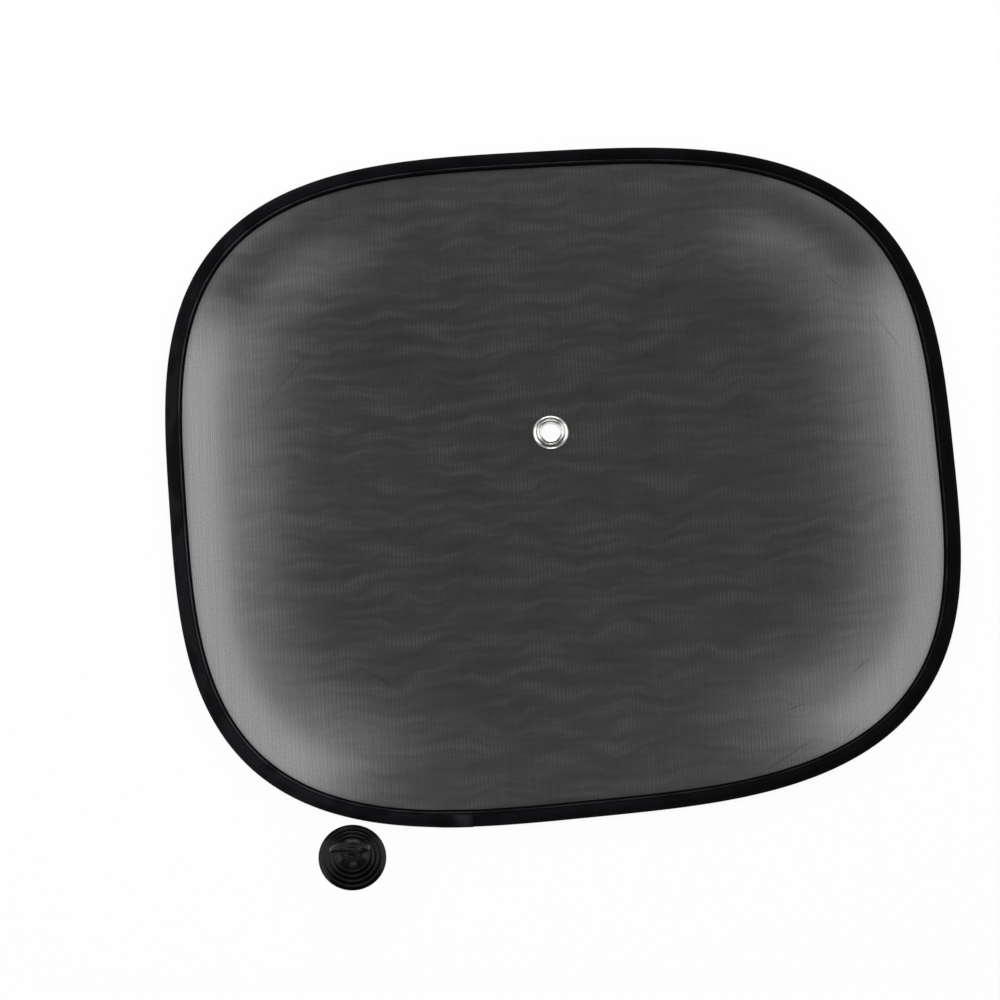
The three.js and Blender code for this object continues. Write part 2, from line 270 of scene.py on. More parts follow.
class Finish:
    """One material, with a Principled shader to feed."""

    def __init__(self, name, **constants):
        self.material = bpy.data.materials.new(name)
        self.material.use_nodes = True
        self.tree = self.material.node_tree
        self.shader = self.tree.nodes["Principled BSDF"]
        self.set(**constants)

    def set(self, **inputs):
        for name, value in inputs.items():
            feed(self.tree, self.shader.inputs[name.replace("_", " ")], value)

    def node(self, kind, *values, **inputs):
        return add_node(self.tree, kind, *values, **inputs)

    def place(self):
        """Object coordinates."""
        return self.node("ShaderNodeTexCoord").outputs["Object"]

    def parts(self, vector):
        node = self.node("ShaderNodeSeparateXYZ", vector)
        return [Field(self.tree, socket) for socket in node.outputs]

    def joined(self, x, y, z):
        return self.node("ShaderNodeCombineXYZ", x, y, z).outputs[0]

    def scaled(self, vector, factors):
        options = {"operation": "MULTIPLY"}
        return self.node("ShaderNodeVectorMath", vector, factors, options=options).outputs[0]

    def noise(self, vector, scale, detail, roughness=0.5):
        node = self.node(
            "ShaderNodeTexNoise", Vector=vector, Scale=scale, Detail=detail, Roughness=roughness
        )
        return Field(self.tree, node.outputs["Fac"])

    def attribute(self, name):
        node = self.node("ShaderNodeAttribute", options={"attribute_name": name})
        return Field(self.tree, node.outputs["Fac"])

    def blend(self, factor, first, second):
        """A colour between two colours."""
        node = self.node("ShaderNodeMix", factor, options={"data_type": "RGBA"})
        for socket, colour in zip(node.inputs[6:8], (first, second)):
            socket.default_value = (*colour, 1.0)
        return node.outputs[2]

    def shades(self, factor, colour, dark, pale):
        """A colour between a darker and a paler shade of one colour."""
        ends = [[min(1.0, part * share) for part in colour] for share in (dark, pale)]
        return self.blend(factor, *ends)

    def relief(self, height, distance, strength):
        node = self.node("ShaderNodeBump", Height=height, Distance=distance, Strength=strength)
        self.set(Normal=node.outputs[0])


# The ends of the little creases in the net, as (x, y) from the shade's middle
NET_CREASES = (
    ((0.155, 0.113), (0.170, 0.097)),
    ((0.182, 0.087), (0.198, 0.060)),
    ((0.149, -0.127), (0.163, -0.116)),
    ((0.111, -0.145), (0.124, -0.141)),
    ((0.143, -0.164), (0.152, -0.155)),
    ((0.095, -0.179), (0.126, -0.162)),
    ((-0.128, 0.094), (-0.168, 0.052)),
    ((-0.094, -0.118), (-0.122, -0.100)),
)


def crease_depth(x, y, sway):
    """How deep in a crease each point lies, from 0 to 1."""
    half_width = 0.0005
    deepest = None
    for ends in NET_CREASES:
        start, end = (Vector(place) + SHADE_MIDDLE.xy for place in ends)
        length = (end - start).length
        way = (end - start) / length
        off = (x - start.x) * -way.y + (y - start.y) * way.x + sway * 4.0
        on = (x - start.x) * way.x + (y - start.y) * way.y
        line = (1.0 - abs(off) / half_width).held()
        fade = (1.0 - abs(on / length - 0.5) * 2.0).held() ** 0.5
        depth = line * fade
        deepest = depth if deepest is None else deepest.most(depth)
    return deepest


def net_finish(net):
    """Fine warp knit: soft ribs, cross threads and small holes, with painted light and shade in
    what it lets through and a painted sheen on its ripple streaks.
    """
    finish = Finish("knitted_net", Roughness=0.7, Specular_IOR_Level=0.06)
    place = finish.place()
    x, y, _ = finish.parts(place)
    sway = (finish.noise(place, 34.0, 2.0) - 0.5) * 0.0005
    jitter = (finish.noise(place, 520.0, 1.0) - 0.5) * 0.00008
    turn = net.grain_turn
    across = x * math.cos(turn) + y * math.sin(turn) + sway + jitter
    along = y * math.cos(turn) - x * math.sin(turn) + sway * 0.7 - jitter
    wale = across / net.wale_pitch
    course = along / net.course_pitch
    rib = wale.wave()
    thread = (course + wale.whole() * 0.5).wave()
    hole = (wale * 2.0).wave() * (course + (wale * 2.0).whole() * 0.5).wave()
    combed = finish.noise(finish.joined(across * 420.0, along * 14.0, 0.0), 1.0, 2.0)
    grain = finish.noise(finish.joined(across * 900.0, along * 700.0, 3.0), 1.0, 1.0)
    bend = (finish.noise(place, 26.0, 2.0) - 0.5) * 0.022
    # Painted light and shade: wavy streaks that let more light through on their crests and less
    # in their troughs, not following the net's own ripples.
    ripples = finish.noise(finish.joined(x * 26.0, (y + bend) * 150.0, 7.0), 1.0, 3.0, 0.55)
    half_range = 0.17
    crest = ((ripples - 0.5) / half_range).held()
    trough = ((0.5 - ripples) / half_range).held()
    crease = crease_depth(x, y, sway)
    # Painted light and shade: these follow the painted share of light let through, scaled to 0 to
    # 1.
    painted_brightness = finish.attribute("painted_brightness")
    painted_dimness = 1.0 - painted_brightness
    dashes = (rib - 0.5) * (0.05 + (0.1 + crest * 0.35) * painted_dimness)
    weave = 1.0 + dashes + (thread - 0.5) * 0.06 + (combed - 0.5) * 0.2
    weave = weave + (grain - 0.5) * 0.34 + (crest * 0.2 - trough * 0.22) * painted_dimness
    light = finish.attribute("light") * weave * (0.9 + hole * 0.4) * (1.0 - crease * 0.4)
    # Painted sheen: ripple crests take the paler bloom colour, more towards the shade's left end.
    sheen_to_left = (0.62 - (x - SHADE_MIDDLE.x) / 0.36).held()
    painted_sheen = crest * painted_dimness * sheen_to_left * (0.35 + rib * 0.65)
    finish.set(
        Alpha=(1.0 - light).held(),
        Base_Color=finish.blend(painted_sheen, net.colour[:], net.bloom[:]),
    )
    finish.relief(rib + thread * 0.4, 0.0002, 0.6)
    return finish.material


def tape_finish(rim, tape_length, section_length):
    """Close plain weave in the tape's own directions, paler with a painted highlight where it
    stands up from the seam.
    """
    finish = Finish("binding_tape", Specular_IOR_Level=0.025)
    uv = finish.node("ShaderNodeUVMap", options={"uv_map": "tape"}).outputs[0]
    u, v, _ = finish.parts(uv)
    along = u * tape_length
    across = v * section_length
    flat = finish.joined(along, across, 0.0)
    warp_pitch, weft_pitch = 0.00055, 0.0005
    warp = (along / warp_pitch).wave()
    weft = (across / weft_pitch).wave()
    weave = (warp - weft) * 0.5 + 0.5
    streak = finish.noise(finish.joined(along * 60.0, across * 420.0, 0.0), 1.0, 3.0)
    broken = finish.noise(finish.joined(along * 45.0, across * 90.0, 5.0), 1.0, 2.0)
    fuzz = finish.noise(flat, 2600.0, 2.0)
    raised = finish.attribute("raised")
    # Painted highlight along the ridge, broken up along its length.
    shown = raised * (0.4 + ((broken - 0.4) / 0.16).held() * 0.6) + weave * 0.01 + streak * 0.02
    finish.set(
        Base_Color=finish.blend(shown.held(), rim.colour[:], rim.painted_highlight_colour[:]),
        Roughness=(0.62 - streak * 0.2 + weave * 0.1).held(),
    )
    finish.relief(weave * 0.8 + fuzz * 0.5 + streak * 0.5, 0.00012, 0.8)
    return finish.material


def thread_finish(stitch):
    finish = Finish("sewing_thread", Roughness=0.5, Specular_IOR_Level=0.04)
    place = finish.place()
    twist = finish.noise(place, 4200.0, 2.0)
    finish.set(Base_Color=finish.shades(twist, stitch.colour, 0.6, 2.2))
    finish.relief(twist, 0.00006, 0.8)
    return finish.material


def plated_finish(eyelet):
    finish = Finish("nickel_plate", Metallic=1.0)
    place = finish.place()
    cloud = finish.noise(place, 260.0, 4.0, 0.6)
    rubbed = finish.noise(finish.scaled(place, (1.0, 6.0, 1.0)), 900.0, 2.0)
    finish.set(
        Base_Color=finish.shades(cloud, eyelet.colour, 0.82, 1.18),
        Roughness=0.1 + cloud * 0.09 + rubbed * 0.08,
    )
    finish.relief(rubbed * 0.6 + cloud, 0.00003, 0.5)
    return finish.material


def soft_cup_finish(cup):
    """Glossy soft vinyl with a faint bloom and fine dust."""
    finish = Finish("soft_vinyl", Specular_IOR_Level=0.13)
    place = finish.place()
    bloom = finish.noise(place, 130.0, 4.0, 0.6)
    dust = finish.noise(place, 3600.0, 2.0)
    speck = ((dust - 0.7) / 0.06).held()
    finish.set(
        Base_Color=finish.shades(speck * 0.5 + bloom * 0.3, cup.colour, 0.8, 5.0),
        Roughness=0.12 + bloom * 0.1 + speck * 0.2,
    )
    finish.relief(bloom + speck * 0.1, 0.00012, 0.35)
    return finish.material


def clip_finish(clip):
    """Moulded black plastic, slightly orange-peeled."""
    finish = Finish("moulded_plastic", Specular_IOR_Level=0.16)
    place = finish.place()
    peel = finish.noise(place, 1500.0, 2.0)
    flow = finish.noise(finish.scaled(place, (1.0, 1.0, 3.0)), 170.0, 3.0)
    finish.set(
        Base_Color=finish.shades(flow, clip.colour, 0.6, 2.4),
        Roughness=0.24 + flow * 0.14 + peel * 0.06,
    )
    finish.relief(peel + flow, 0.00005, 0.5)
    return finish.material


def wire_finish():
    """Drawn spring wire."""
    finish = Finish("spring_wire", Metallic=1.0)
    place = finish.place()
    drawn = finish.noise(finish.scaled(place, (1.0, 1.0, 30.0)), 300.0, 3.0)
    finish.set(
        Base_Color=finish.blend(drawn, (0.32, 0.32, 0.33), (0.55, 0.55, 0.56)),
        Roughness=0.28 + drawn * 0.2,
    )
    finish.relief(drawn, 0.00002, 0.5)
    return finish.material


# Shapes


def made_piece(name, points, faces, material, uvs=None, sharp=None):
    """A mesh piece from points, faces and, where given, a UV for each face corner."""
    mesh = bpy.data.meshes.new(name)
    mesh.from_pydata([tuple(map(float, p)) for p in points], [], faces)
    if uvs is not None:
        layer = mesh.uv_layers.new(name="tape")
        layer.data.foreach_set("uv", np.asarray(uvs, dtype=np.float32).ravel())
    mesh.materials.append(material)
    mesh.shade_smooth()
    if sharp:
        mesh.set_sharp_from_angle(angle=math.radians(sharp))
    piece = bpy.data.objects.new(name, mesh)
    bpy.context.scene.collection.objects.link(piece)
    return piece


def baked(holder):
    """The mesh that an object's modifiers make. The object itself is removed."""
    depsgraph = bpy.context.evaluated_depsgraph_get()
    mesh = bpy.data.meshes.new_from_object(holder.evaluated_get(depsgraph))
    bpy.data.objects.remove(holder)
    return mesh


def give_values(piece, name, values):
    """Stores a number for each point, for the material to read."""
    attribute = piece.data.attributes.new(name, "FLOAT", "POINT")
    attribute.data.foreach_set("value", np.asarray(values, dtype=np.float32))


def grid_faces(rows, ring, rows_close):
    """Quads between rings of points, and from the last ring to the first if the rows close."""
    faces = []
    for i in range(rows if rows_close else rows - 1):
        here, there = i * ring, (i + 1) % rows * ring
        for j in range(ring):
            k = (j + 1) % ring
            faces.append((here + j, here + k, there + k, there + j))
    return faces


def merged(shapes):
    """Points and faces of several shapes as one."""
    points, faces = [], []
    for some_points, some_faces in shapes:
        start = len(points)
        points += [tuple(point) for point in some_points]
        faces += [tuple(start + i for i in face) for face in some_faces]
    return points, faces


def corner_cut(profile, times, closed):
    """A profile with its corners rounded by cutting them again and again."""
    points = np.asarray(profile, float)
    for _ in range(times):
        following = np.roll(points, -1, axis=0)
        first = points * 0.78 + following * 0.22
        second = points * 0.22 + following * 0.78
        cut = np.stack([first, second], axis=1).reshape(-1, 2)
        points = cut if closed else np.vstack([points[:1], cut[1:-3], points[-1:]])
    return points


def lathed(profile, segments, closed):
    """Points and faces of a profile of (radius, height) turned about the Z axis."""
    profile = np.asarray(profile, float)
    angles = even_shares(segments) * math.tau
    if closed:
        points = [(r * math.cos(a), r * math.sin(a), z) for a in angles for r, z in profile]
        return points, grid_faces(segments, len(profile), True)
    inner = profile[1:-1]
    points = [(r * math.cos(a), r * math.sin(a), z) for r, z in inner for a in angles]
    faces = grid_faces(len(inner), segments, False)
    low, high = len(points), len(points) + 1
    points += [(0.0, 0.0, profile[0][1]), (0.0, 0.0, profile[-1][1])]
    last = (len(inner) - 1) * segments
    for j in range(segments):
        k = (j + 1) % segments
        faces += [(low, k, j), (high, last + j, last + k)]
    return points, faces


def shifted(points, offset, turn=0.0):
    """Points turned about the Z axis, then moved."""
    points = np.asarray(points, float)
    c, s = math.cos(turn), math.sin(turn)
    x = points[:, 0] * c - points[:, 1] * s + offset[0]
    y = points[:, 0] * s + points[:, 1] * c + offset[1]
    return np.stack([x, y, points[:, 2] + offset[2]], axis=1)


def waves(values, period, count, seed, low):
    """A gentle wandering line that closes on itself, of about 1 either way."""
    chance = np.random.default_rng(seed)
    total = np.zeros_like(values)
    for i in range(count):
        times = low + i * max(1, low // 2)
        wave = np.sin(math.tau * times * values / period + chance.uniform(0, math.tau))
        total += wave * (chance.uniform(0.4, 1.0) / math.sqrt(i + 1))
    return total / count


def edge_points(angles, rim):
    """Points on the outer edge at angles from the shade's middle, in the row frame."""
    a, b = rim.length / 2, rim.height / 2
    n = rim.squareness
    radius = (np.abs(np.cos(angles) / a) ** n + np.abs(np.sin(angles) / b) ** n) ** (-1 / n)
    x = radius * np.cos(angles)
    y = radius * np.sin(angles) * (1 - rim.end_taper * x / a)
    return np.stack([x + SHADE_MIDDLE.x, y + SHADE_MIDDLE.y], axis=1)


def even_shares(count):
    """Numbers from 0 up to, not including, 1."""
    return np.linspace(0.0, 1.0, count, endpoint=False)


def rim_path(shares, rim, start=0.0):
    """Edge points at shares of the way round, their outward directions, and the way's length."""
    fine = np.linspace(start, start + math.tau, 7201)
    line = edge_points(fine, rim)
    distance = np.concatenate([[0], np.cumsum(np.hypot(*np.diff(line, axis=0).T))])
    along = shares * distance[-1]
    angles = np.interp(along, distance, fine)
    tangent = edge_points(angles + 1e-4, rim) - edge_points(angles - 1e-4, rim)
    tangent /= np.hypot(*tangent.T)[:, None]
    outward = np.stack([tangent[:, 1], -tangent[:, 0]], axis=1)
    return edge_points(angles, rim), outward, along, distance[-1]


# The net


def eased(values):
    """Values held between 0 and 1, with a soft start and a soft end."""
    held = np.clip(values, 0, 1)
    return held * held * (3 - 2 * held)


def net_light(net, inset, outward):
    """Share of light let through, painted to stand in for light and shade: most by the ends and
    round the lower corners.
    """
    endward, upward = np.abs(outward[:, 0]), outward[:, 1]
    upper = eased(upward * 1.6 + 0.5)
    endwise = eased((endward - 0.22 - 0.26 * upper) / (0.42 - 0.02 * upper))
    endwise *= 1.0 + 0.25 * np.clip(-outward[:, 0], 0, 1)
    bright_width, faint_width = 0.0265 - 0.004 * endward, 0.052
    near = 1.0 / (1.0 + (inset / bright_width) ** 5)
    far = 1.0 / (1.0 + (inset / faint_width) ** 6)
    light = net.middle_light + 0.012 * np.exp(-inset / 0.05)
    lower = eased(endward / 0.5)
    light += (net.end_light - 0.13) * endwise * near
    light += 0.08 * (endwise * upper + lower * (1 - upper)) * far
    # Painted shade: in the upper corners a darker band lies between a lighter edge and a lighter
    # band further in.
    corner = eased(4.4 * endward**2 * upward**2) * upper
    past_band = inset - 0.034
    band_width = np.where(past_band < 0, 0.0125, 0.026)
    band = np.exp(-((past_band / band_width) ** 2))
    in_corner = net.middle_light + 0.09 * np.exp(-inset / 0.0085) + 0.066 * band
    light += (in_corner - light) * corner
    # Painted shade: the net lets less light through right along the binding's inner edge.
    return light * np.clip(0.55 + inset / 0.005, 0, 1)


def net_ripple(points):
    """Soft ripples that run mostly along the shade, from -1 to 1."""
    x = points[:, 0] - SHADE_MIDDLE.x
    y = points[:, 1] - SHADE_MIDDLE.y
    bend = 0.01 * np.sin(x / 0.052) + 0.006 * np.sin(x / 0.023 + 1.3)
    first = np.sin((y + bend) / 0.0043)
    second = np.sin((y * 0.96 + x * 0.16 + bend) / 0.0071 + 0.8)
    third = np.sin((y * 0.9 - x * 0.3) / 0.013 + 2.1)
    return 0.3 * first + 0.35 * second + 0.35 * third


class SUNSHADE_OT_net(bpy.types.Operator):
    """Stretches the knitted net in the rim, with a hole for the eyelet"""

    bl_idname = "sunshade.net"
    bl_label = "Net"

    def execute(self, context):
        rim, net = settings(context, "rim"), settings(context, "net")
        count, rings = 300, 80
        tuck = 0.0032
        tucked = rim.binding_width - tuck
        edge, outward, _, _ = rim_path(even_shares(count), rim)
        outer = edge - outward * tucked
        centre = np.array([EYELET_MIDDLE.x, EYELET_MIDDLE.y])
        away = outer - centre
        reach = np.hypot(*away.T)[:, None]
        inner = centre + away / reach * net.hole_radius
        shares = np.linspace(0.0, 1.0, rings) ** 0.85
        points = np.concatenate([inner + (outer - inner) * share for share in shares])
        inset = np.concatenate([(1 - s) * (reach[:, 0] - net.hole_radius) for s in shares])
        from_hole = np.hypot(*(points - centre).T) - net.hole_radius
        hold = np.clip((inset - 0.004) / 0.03, 0, 1) * np.clip((from_hole - 0.005) / 0.025, 0, 1)
        height = rim.tube_height / 2 + net.ripple_depth * net_ripple(points) * hold**0.8
        # The share of light let through is painted light and shade, set as the net's alpha.
        light = net_light(net, np.maximum(inset - tuck, 0.0), np.tile(outward, (rings, 1)))
        painted_brightness = np.clip(light / net.end_light, 0, 1) ** 0.7
        faces = grid_faces(rings, count, False)
        piece = made_piece("net", np.column_stack([points, height]), faces, net_finish(net))
        piece.data.flip_normals()
        give_values(piece, "light", light)
        give_values(piece, "painted_brightness", painted_brightness)
        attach(piece, "root")
        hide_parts("mesh_panel")
        return {"FINISHED"}


# The binding and its seam


# The flange's top as (way back from its lip, rise, how pale with painted highlight): both lengths
# in millimetres
FLANGE_TOP = (
    (0.08, -0.1, 0.0),
    (0.3, 0.0, 0.0),
    (0.65, -0.03, 0.0),
    (1.0, -0.2, 0.0),
    (1.3, -0.05, 0.3),
    (1.65, 0.2, 1.0),
    (2.0, 0.15, 0.9),
    (2.35, -0.1, 0.0),
)


def tape_section(rim):
    """Section of the binding as (inset, height) about the net's middle, once round.

    With it come which of its points lie outside, and how pale each of them is with painted
    highlight.
    """
    half_width, half_height = rim.tube_width / 2, rim.tube_height / 2
    inside, outside = rim.leaf_inside, rim.leaf_inside + rim.leaf_wall
    hollow = half_height - rim.tape_wall

    def oval(first, last, steps, width, height):
        angles = np.radians(np.linspace(first, last, steps))
        return [(half_width + width * math.cos(a), height * math.sin(a)) for a in angles]

    lip = rim.binding_width
    top = [(lip, inside + 0.1 * MM)]
    top += [(lip - back * MM, outside + rise * MM) for back, rise, _ in FLANGE_TOP]
    under = [(x, -z) for x, z in reversed(top)]
    outer = oval(38, 322, 27, half_width, half_height)
    inner = oval(-24, -336, 13, half_width - 1.3 * MM, hollow)
    inner = [(lip, -inside), *inner, (lip, inside)]
    section = np.array(top + outer + under + inner)
    top_pale = [0.0, *(pale for _, _, pale in FLANGE_TOP)]
    pale = np.array([*top_pale, *[0.0] * len(outer), *top_pale[::-1], *[0.0] * len(inner)])
    return section, np.arange(len(section)) < len(top + outer + under), pale


def tape_tones(rim, section, pale, flange, outward, back):
    """How pale the tape is: a painted highlight along the flange's ridge, painted light to the
    left, and paler by the lap.
    """
    by_lap = np.exp(-(((back - 0.0062) / 0.0045) ** 2))
    on_tube = (section[:, 0] < rim.tube_width - 0.0009) & (section[:, 1] > 0.0012)
    # Painted light: the tape is paler towards the shade's left end, on the ridge and on the tube.
    left = eased(0.35 - outward[:, 0])
    tones = np.outer(0.4 + 0.6 * left, pale) + np.outer(0.03 + 0.16 * left, ~flange)
    return np.clip(tones + np.outer(by_lap, on_tube * 0.4), 0, 1)


def tape_points(rim, section, outside, flange, path, back):
    """The section set round the rim, with small unevenness and the raised lap."""
    edge, outward, along, total = path
    swell = 1.0 + 0.012 * waves(along, total, 9, 5, 14) + 0.01 * waves(along, total, 7, 9, 40)
    wander = 0.00022 * waves(along, total, 12, 21, 30)
    pucker = 0.00009 * waves(along, total, 5, 3, 150)
    lap_slope = 0.008
    lapped = np.clip((rim.lap_length - back) / lap_slope, 0, 1)
    lapped[0] = 1.0
    half, lowest = rim.tube_width / 2, -rim.tube_height / 2
    upper = outside & (section[:, 1] > 0)
    tube = outside & ~flange
    points = np.zeros((len(edge), len(section), 3))
    for i in range(len(edge)):
        inset = section[:, 0].copy()
        height = section[:, 1].copy()
        inset[tube] = half + (inset[tube] - half) * swell[i]
        height[upper & tube] *= 1.0 + 0.5 * (swell[i] - 1.0)
        inset[flange & (inset > rim.tube_width)] += wander[i]
        height[upper & flange] += pucker[i]
        height[upper] += rim.lap_rise * lapped[i]
        inset[outside & (inset < half)] -= rim.lap_rise * lapped[i] / 2
        points[i, :, :2] = edge[i] - np.outer(inset, outward[i])
        points[i, :, 2] = rim.tube_height / 2 + np.maximum(height, lowest)
    return points.reshape(-1, 3)


class SUNSHADE_OT_binding(bpy.types.Operator):
    """Folds the tape round the wire and the net's edge"""

    bl_idname = "sunshade.binding"
    bl_label = "Binding"

    def execute(self, context):
        rim = settings(context, "rim")
        shares = np.insert(even_shares(760), 1, 0.00008)
        path = rim_path(shares, rim, rim.lap_angle)
        _, outward, along, total = path
        section, outside, pale = tape_section(rim)
        flange = outside & (section[:, 0] > rim.tube_width - 0.0002)
        points = tape_points(rim, section, outside, flange, path, total - along)
        lengths = np.hypot(*np.diff(np.vstack([section, section[:1]]), axis=0).T)
        across = np.concatenate([[0], np.cumsum(lengths)])
        u, v = np.append(shares, 1.0), across / across[-1]
        uvs = [
            corner
            for u0, u1 in zip(u, u[1:])
            for v0, v1 in zip(v, v[1:])
            for corner in ((u0, v0), (u0, v1), (u1, v1), (u1, v0))
        ]
        faces = grid_faces(len(shares), len(section), True)
        material = tape_finish(rim, total, across[-1])
        piece = made_piece("binding", points, faces, material, uvs, sharp=50)
        # The painted highlight goes to the material as the raised attribute.
        tones = tape_tones(rim, section, pale, flange, outward, total - along)
        give_values(piece, "raised", tones.ravel())
        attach(piece, "root")
        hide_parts("edge_binding")
        return {"FINISHED"}


def stitch_nodes():
    """Puts a bowed stitch at even steps along a curve."""
    tree = bpy.data.node_groups.new("Stitches along a seam", "GeometryNodeTree")
    add_socket = tree.interface.new_socket
    add_socket("Seam", in_out="INPUT", socket_type="NodeSocketGeometry")
    for name in ("Pitch", "Stitch length", "Thread radius", "Rise"):
        add_socket(name, in_out="INPUT", socket_type="NodeSocketFloat")
    add_socket("Material", in_out="INPUT", socket_type="NodeSocketMaterial")
    add_socket("Stitches", in_out="OUTPUT", socket_type="NodeSocketGeometry")

    def add(kind, *values, **inputs):
        return add_node(tree, kind, *values, **inputs).outputs

    given = add("NodeGroupInput")
    seam, pitch, radius = (given[name] for name in ("Seam", "Pitch", "Thread radius"))
    half = Field(tree, given["Stitch length"]) * 0.5
    start = add("ShaderNodeCombineXYZ", X=half * -1.0)[0]
    crown = add("ShaderNodeCombineXYZ", Z=given["Rise"])[0]
    end = add("ShaderNodeCombineXYZ", X=half)[0]
    bow = add("GeometryNodeCurveQuadraticBezier", 6, start, crown, end)[0]
    mode = {"mode": "RADIUS"}
    ring = add("GeometryNodeCurvePrimitiveCircle", options=mode, Resolution=6, Radius=radius)[0]
    thread = add("GeometryNodeCurveToMesh", Curve=bow, Profile_Curve=ring, Fill_Caps=True)[0]
    mode = {"mode": "LENGTH"}
    spaced = add("GeometryNodeResampleCurve", options=mode, Curve=seam, Length=pitch)[0]
    tangent = add("GeometryNodeInputTangent")[0]
    axes = {"axis": "X", "pivot_axis": "Z"}
    aim = add("FunctionNodeAlignRotationToVector", options=axes, Vector=tangent)[0]
    placed = add("GeometryNodeInstanceOnPoints", Points=spaced, Instance=thread, Rotation=aim)[0]
    real = add("GeometryNodeRealizeInstances", placed)[0]
    painted = add("GeometryNodeSetMaterial", Geometry=real, Material=given["Material"])[0]
    add("NodeGroupOutput", painted)
    return tree


def sewn_row(tree, rim, stitch, side, material):
    """One side of the seam as a plain mesh: side is 1 on top and -1 underneath."""
    count = 900
    edge, outward, _, _ = rim_path(even_shares(count), rim, rim.lap_angle)
    line = edge - outward * stitch.inset
    sunk, rise = 0.00014, 0.00018
    height = rim.tube_height / 2 + side * (rim.leaf_inside + rim.leaf_wall - sunk)
    curve = bpy.data.curves.new("seam", "CURVE")
    curve.dimensions = "3D"
    spline = curve.splines.new("POLY")
    spline.points.add(count - 1)
    spline.use_cyclic_u = True
    for point, (x, y) in zip(spline.points, line):
        point.co = (x, y, height, 1.0)
    holder = bpy.data.objects.new("seam", curve)
    bpy.context.scene.collection.objects.link(holder)
    modifier = holder.modifiers.new("Stitches", "NODES")
    modifier.node_group = tree
    values = {
        "Pitch": stitch.pitch,
        "Stitch length": stitch.stitch_length,
        "Thread radius": stitch.thread_radius,
        "Rise": side * rise,
        "Material": material,
    }
    for item in tree.interface.items_tree:
        if item.in_out == "INPUT" and item.name in values:
            modifier[item.identifier] = values[item.name]
    bpy.context.view_layer.update()
    return baked(holder)


class SUNSHADE_OT_stitching(bpy.types.Operator):
    """Sews the binding through the net along its flange"""

    bl_idname = "sunshade.stitching"
    bl_label = "Stitching"

    def execute(self, context):
        rim, stitch = settings(context, "rim"), settings(context, "stitch")
        material = thread_finish(stitch)
        tree = stitch_nodes()
        rows = [sewn_row(tree, rim, stitch, side, material) for side in (1, -1)]
        shapes = (([v.co for v in m.vertices], [f.vertices for f in m.polygons]) for m in rows)
        piece = made_piece("stitching", *merged(shapes), material)
        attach(piece, "root")
        return {"FINISHED"}


class SUNSHADE_OT_wire(bpy.types.Operator):
    """Finishes the spring wire and the ferrule inside the binding"""

    bl_idname = "sunshade.wire"
    bl_label = "Wire"

    def execute(self, context):
        material = wire_finish()
        for node in ("frame_wire", "wire_ferrule"):
            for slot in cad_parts[node].material_slots:
                slot.material = material
        return {"FINISHED"}


# The eyelet


class SUNSHADE_OT_eyelet(bpy.types.Operator):
    """Makes the domed eyelet and the washer it is clenched over"""

    bl_idname = "sunshade.eyelet"
    bl_label = "Eyelet"

    def execute(self, context):
        rim, eyelet = settings(context, "rim"), settings(context, "eyelet")
        material = plated_finish(eyelet)
        under = rim.leaf_inside
        inner = eyelet.hole_radius
        outer = inner + eyelet.barrel_wall
        top = under + 0.0013
        washer_wall, washer_play = 0.0005, 0.0003
        roll_top = -(under + washer_wall + washer_play)
        roll_low = roll_top - 0.0006
        wide = outer + 0.00175
        ring = [
            (inner, roll_low + 0.00025),
            (inner, top - 0.0007),
            (inner + 0.00025, top - 0.0002),
            (inner + 0.00075, top),
            (inner + 0.00135, top - 0.0001),
            (inner + 0.0019, top - 0.00055),
            (inner + 0.0022, top - 0.00015),
            (eyelet.radius - 0.0014, top - 0.0003),
            (eyelet.radius - 0.00075, top - 0.0006),
            (eyelet.radius, under + 0.00012),
            (eyelet.radius - 0.00015, under),
            (outer, under),
            (outer, roll_top),
            (wide, roll_top),
            (wide, roll_top - 0.00025),
            (wide - 0.00045, roll_low),
            (inner + 0.0003, roll_low),
        ]
        hole = outer + washer_play
        washer = [
            (hole, -under),
            (eyelet.washer_radius, -under),
            (eyelet.washer_radius, -under - washer_wall),
            (hole, -under - washer_wall),
        ]
        centre = (EYELET_MIDDLE.x, EYELET_MIDDLE.y, rim.tube_height / 2)
        for name, profile, node in (
            ("eyelet_ring", ring, "eyelet"),
            ("eyelet_backing", washer, "eyelet_washer"),
        ):
            points, faces = lathed(corner_cut(profile, 2, True), 120, True)
            piece = made_piece(name, shifted(points, centre), faces, material, sharp=60)
            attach(piece, "root")
            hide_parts(node)
        return {"FINISHED"}


# The suction cup and its clip


